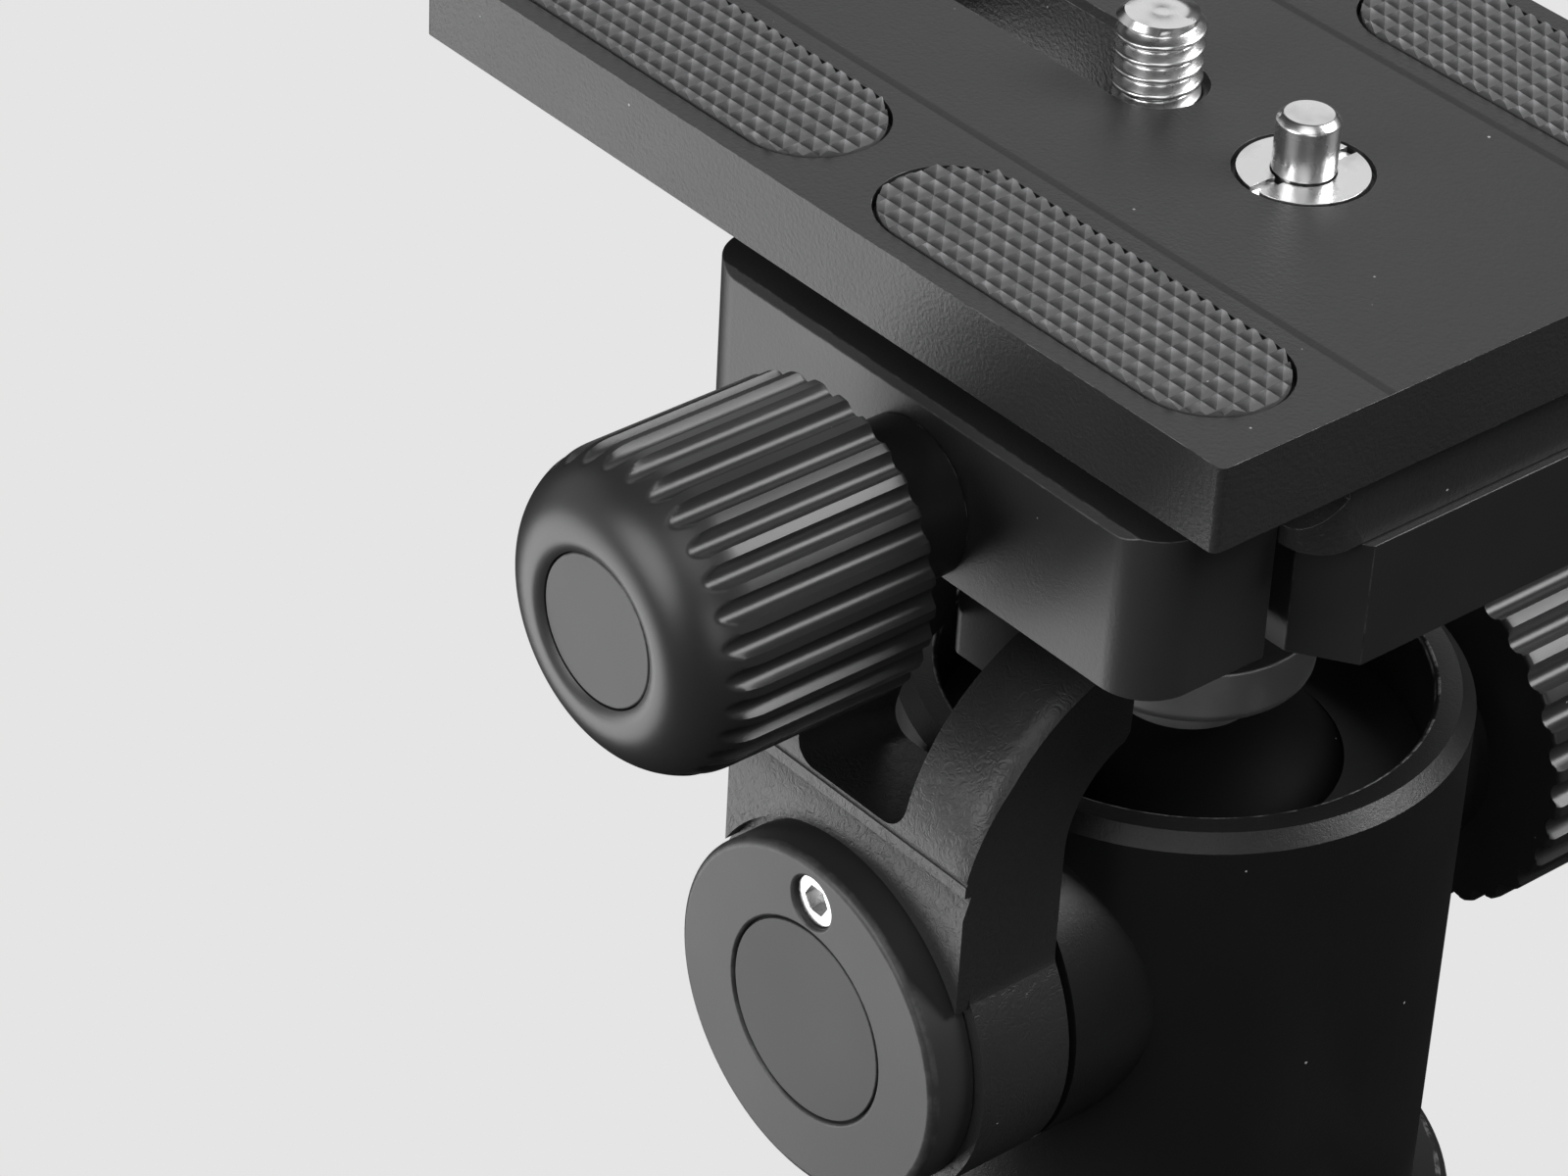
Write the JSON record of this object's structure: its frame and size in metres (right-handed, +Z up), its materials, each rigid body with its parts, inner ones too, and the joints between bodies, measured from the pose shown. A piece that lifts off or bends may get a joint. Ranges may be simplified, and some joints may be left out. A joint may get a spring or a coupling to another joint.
{
  "type": "tripod ball head",
  "caption": "Black tripod ball head: a panning housing, a ball guided by a windowed tilt frame, a screw clamp with a fluted knob and a quick-release camera plate.",
  "frame": {"origin": "middle of the base's lower face, at the mouth of the tripod socket", "axes": "+Z up along the pan axis; X along the camera plate; the clamp's knob looks along -Y"},
  "size_m": [0.0927, 0.098, 0.106],
  "materials": {
    "plate_black": "fine blasted black anodised",
    "clamp_black": "satin black anodised",
    "jaw_black": "fine blasted black anodised",
    "neck_black": "satin black anodised",
    "frame_black": "black paint over a coarse cast skin",
    "housing_black": "black paint over a fine cast skin",
    "base_black": "satin black anodised",
    "cap_black": "satin black anodised",
    "badge_black": "flat satin black",
    "knob_black": "satin black anodised",
    "knob_disc_black": "flat satin dark grey, bare",
    "collar_black": "smooth black anodised",
    "ball_black": "hard anodised dark grey",
    "stem_satin": "pale satin turned metal",
    "seat_black": "black acetal",
    "cup_white": "natural acetal",
    "washer_white": "slippery white plastic",
    "pad_rubber": "dark grey rubber with a pyramid grip",
    "ring_rubber": "smooth black rubber",
    "screw_steel": "plain steel",
    "dark_steel": "blackened steel",
    "bright_chrome": "bright plated",
    "spring_steel": "spring wire",
    "bronze": "sintered bronze",
    "brass_yellow": "turned brass"
  },
  "bodies": {
    "base": {"pan_base": "base_black", "base_socket": "screw_steel", "foot_ring": "ring_rubber", "pan_washer": "washer_white", "keeper_plate": "screw_steel", "keeper_screw": "dark_steel"},
    "housing": {"housing": "housing_black", "seat_ring": "seat_black", "ball_cup": "cup_white", "cup_spring": "spring_steel", "pivot_stud": "screw_steel", "pivot_washer": "washer_white", "pivot_keeper": "screw_steel", "pivot_screw": "dark_steel"},
    "pressure_block": {"pressure_block": "brass_yellow"},
    "ball_lock": {"lock_screw": "screw_steel", "lock_knob": "knob_black", "lock_knob_cap": "knob_disc_black"},
    "pan_shoe": {"pan_shoe": "brass_yellow"},
    "pan_lock": {"pan_screw": "screw_steel", "pan_knob": "knob_black", "pan_knob_cap": "knob_disc_black"},
    "head": {"ball": "ball_black", "ball_stem": "stem_satin", "stem_bolt": "dark_steel", "head_neck": "neck_black", "neck_screws": "dark_steel", "tilt_frame": "frame_black", "frame_screws": "dark_steel", "pivot_bush": "bronze", "pivot_cap": "cap_black", "cap_badge": "badge_black", "cap_screw": "bright_chrome", "clamp_body": "clamp_black", "guide_pins": "screw_steel", "jaw_springs": "spring_steel"},
    "jaw": {"clamp_jaw": "jaw_black"},
    "clamp_turn": {"clamp_screw": "screw_steel", "screw_clip": "dark_steel", "knob_collar": "collar_black", "clamp_knob": "knob_black", "knob_disc": "knob_disc_black"},
    "plate": {"qr_plate": "plate_black", "plate_pads": "pad_rubber", "pin_bush": "bright_chrome", "pin_spring": "spring_steel"},
    "video_pin": {"video_pin": "bright_chrome"},
    "screw_slider": {"screw_slider": "screw_steel"},
    "camera_screw": {"camera_screw": "bright_chrome"}
  },
  "joints": [
    {"name": "pan", "type": "hinge", "parent": "base", "child": "housing", "pos_m": [0, 0, 0.0127], "axis": [0, 0, 1], "continuous": true},
    {"name": "tilt", "type": "hinge", "parent": "housing", "child": "head", "pos_m": [0, 0, 0.042], "axis": [0, 1, 0], "range_deg": [-26, 26]},
    {"name": "ball_lock_turn", "type": "hinge", "parent": "housing", "child": "ball_lock", "pos_m": [0, 0.03, 0.042], "axis": [0, -1, 0], "range_deg": [0, 91]},
    {"name": "pressure_slide", "type": "slide", "parent": "housing", "child": "pressure_block", "axis": [0, -1, 0], "range_m": [0, 0.0003125]},
    {"name": "pan_lock_turn", "type": "hinge", "parent": "housing", "child": "pan_lock", "pos_m": [0.03, 0, 0.01725], "axis": [-1, 0, 0], "range_deg": [0, 122]},
    {"name": "pan_shoe_slide", "type": "slide", "parent": "housing", "child": "pan_shoe", "axis": [-1, 0, 0], "range_m": [0, 0.00026667]},
    {"name": "jaw_slide", "type": "slide", "parent": "head", "child": "jaw", "axis": [0, -1, 0], "range_m": [0, 0.004]},
    {"name": "clamp_knob_turn", "type": "hinge", "parent": "jaw", "child": "clamp_turn", "pos_m": [0, -0.0479, 0.0837], "axis": [0, -1, 0], "range_deg": [0, 1441]},
    {"name": "plate_slide", "type": "slide", "parent": "head", "child": "plate", "axis": [1, 0, 0], "range_m": [-0.01, 0.026]},
    {"name": "pin_press", "type": "slide", "parent": "plate", "child": "video_pin", "axis": [0, 0, -1], "range_m": [0, 0.004], "stiffness_N_per_m": 250, "springref_m": -0.002, "deforming": ["pin_spring"]},
    {"name": "screw_slide", "type": "slide", "parent": "plate", "child": "screw_slider", "axis": [-1, 0, 0], "range_m": [0, 0.024]},
    {"name": "screw_spin", "type": "hinge", "parent": "screw_slider", "child": "camera_screw", "pos_m": [-0.0105, 0.0021, 0.09], "axis": [0, 0, 1], "continuous": true}
  ],
  "couplings": [
    {"joint": "clamp_knob_turn", "follows": "jaw_slide", "rad_per_m": 6283.2},
    {"joint": "ball_lock_turn", "follows": "pressure_slide", "rad_per_m": 5026.5},
    {"joint": "pan_lock_turn", "follows": "pan_shoe_slide", "rad_per_m": 7854}
  ]
}
